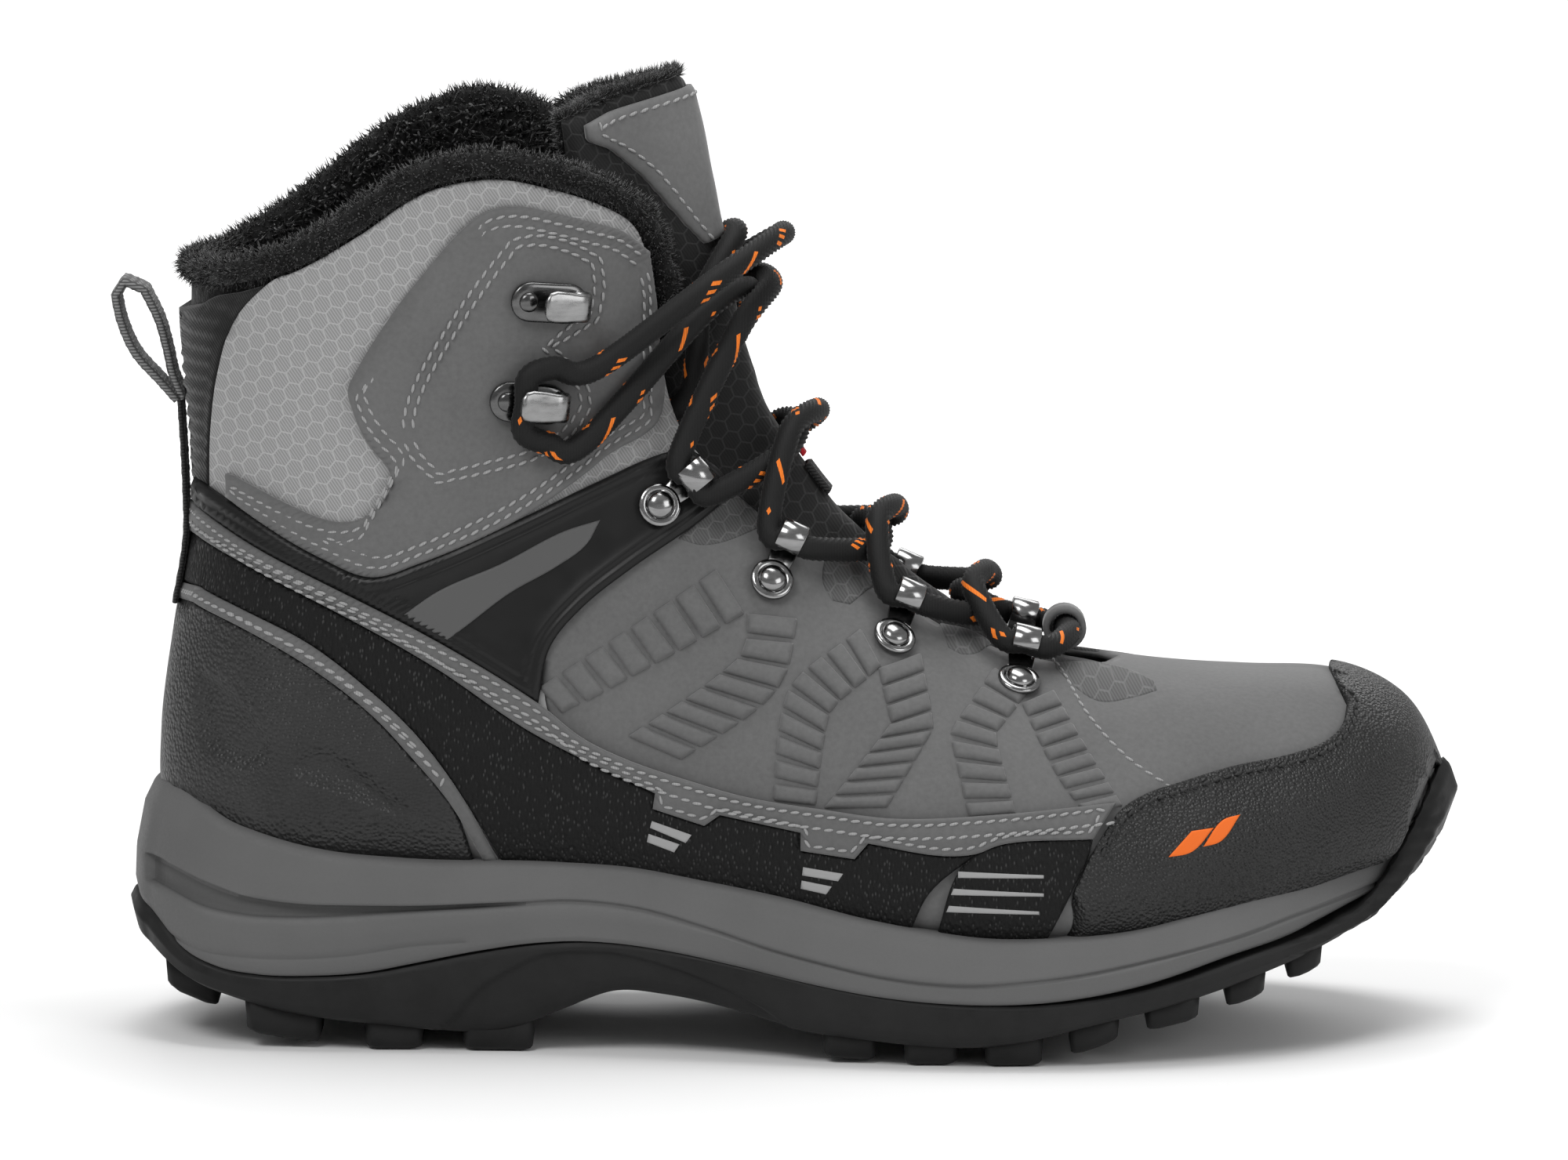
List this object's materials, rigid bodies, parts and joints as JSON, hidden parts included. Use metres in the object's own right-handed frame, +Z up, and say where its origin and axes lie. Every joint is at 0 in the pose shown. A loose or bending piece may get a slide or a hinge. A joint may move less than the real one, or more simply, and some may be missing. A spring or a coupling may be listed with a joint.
{
  "type": "hiking boot",
  "caption": "Mid-cut lace-up winter hiking boot for the right foot: lugged sole, foam midsole, layered upper, fleece lining, hooks and rings, padded tongue, heel pull loop.",
  "frame": {"origin": "centre of the boot's box in plan, on the ground under the lugs", "axes": "+X to the toe, +Z up, -Y to the outer side of this right boot"},
  "size_m": [0.3062, 0.1174, 0.2172],
  "materials": {
    "sole_rubber": "matt moulded",
    "midsole_foam": "moulded foam skin",
    "nubuck_grey": "nubuck",
    "ripstop_grey": "honeycomb ripstop",
    "softshell_black": "stretch softshell",
    "fleece_black": "deep pile fleece",
    "grained_black": "grained, coated",
    "band_black": "smooth film",
    "strip_grey": "nubuck strip",
    "webbing_black": "woven webbing",
    "board_fibre": "pressed fibre board",
    "gunmetal": "dark plated, polished",
    "lace_cord": "round braid with orange fleck",
    "aglet_plastic": "gloss"
  },
  "bodies": {
    "boot": {"outsole": "sole_rubber", "midsole": "midsole_foam", "strobel_board": "board_fibre", "shank": "gunmetal", "footbed": "board_fibre", "heel_base_lateral": "board_fibre", "heel_base_medial": "board_fibre", "shaft_lining_lateral": "fleece_black", "shaft_lining_medial": "fleece_black", "foot_lining_lateral": "fleece_black", "foot_lining_medial": "fleece_black", "vamp_lateral": "nubuck_grey", "vamp_medial": "nubuck_grey", "collar_textile_lateral": "ripstop_grey", "collar_textile_medial": "ripstop_grey", "collar_back": "softshell_black", "collar_rim": "fleece_black", "ankle_overlay_lateral": "nubuck_grey", "ankle_overlay_medial": "nubuck_grey", "tpu_band_lateral": "band_black", "tpu_band_medial": "band_black", "seam_strip": "strip_grey", "counter_strip": "strip_grey", "side_panel": "grained_black", "heel_counter": "grained_black", "toe_cap": "grained_black", "toe_side_panel_lateral": "grained_black", "toe_side_panel_medial": "grained_black", "heel_strap": "webbing_black", "tongue": "softshell_black", "lace_keeper": "webbing_black", "lace_ring_lateral_1": "gunmetal", "lace_ring_lateral_2": "gunmetal", "lace_ring_lateral_3": "gunmetal", "lace_ring_lateral_4": "gunmetal", "lace_ring_medial_1": "gunmetal", "lace_ring_medial_2": "gunmetal", "lace_ring_medial_3": "gunmetal", "lace_ring_medial_4": "gunmetal", "lace_hook_lateral_lower": "gunmetal", "lace_hook_lateral_upper": "gunmetal", "lace_hook_medial_lower": "gunmetal", "lace_hook_medial_upper": "gunmetal", "toe_lace_loop": "nubuck_grey", "lace": "lace_cord", "aglet_lateral": "aglet_plastic", "aglet_medial": "aglet_plastic"},
    "tongue_flap": {"tongue_top": "softshell_black", "tongue_patch": "nubuck_grey"},
    "pull_tab": {"pull_loop": "webbing_black"}
  },
  "joints": [
    {"name": "tongue_flex", "type": "hinge", "parent": "boot", "child": "tongue_flap", "pos_m": [-0.01595, 0.00356, 0.186], "axis": [0, 1, 0], "range_deg": [0, 25]},
    {"name": "pull_loop_flex", "type": "hinge", "parent": "boot", "child": "pull_tab", "pos_m": [-0.13745, 0.00421, 0.1435], "axis": [0, 1, 0], "range_deg": [-60, 10]}
  ]
}
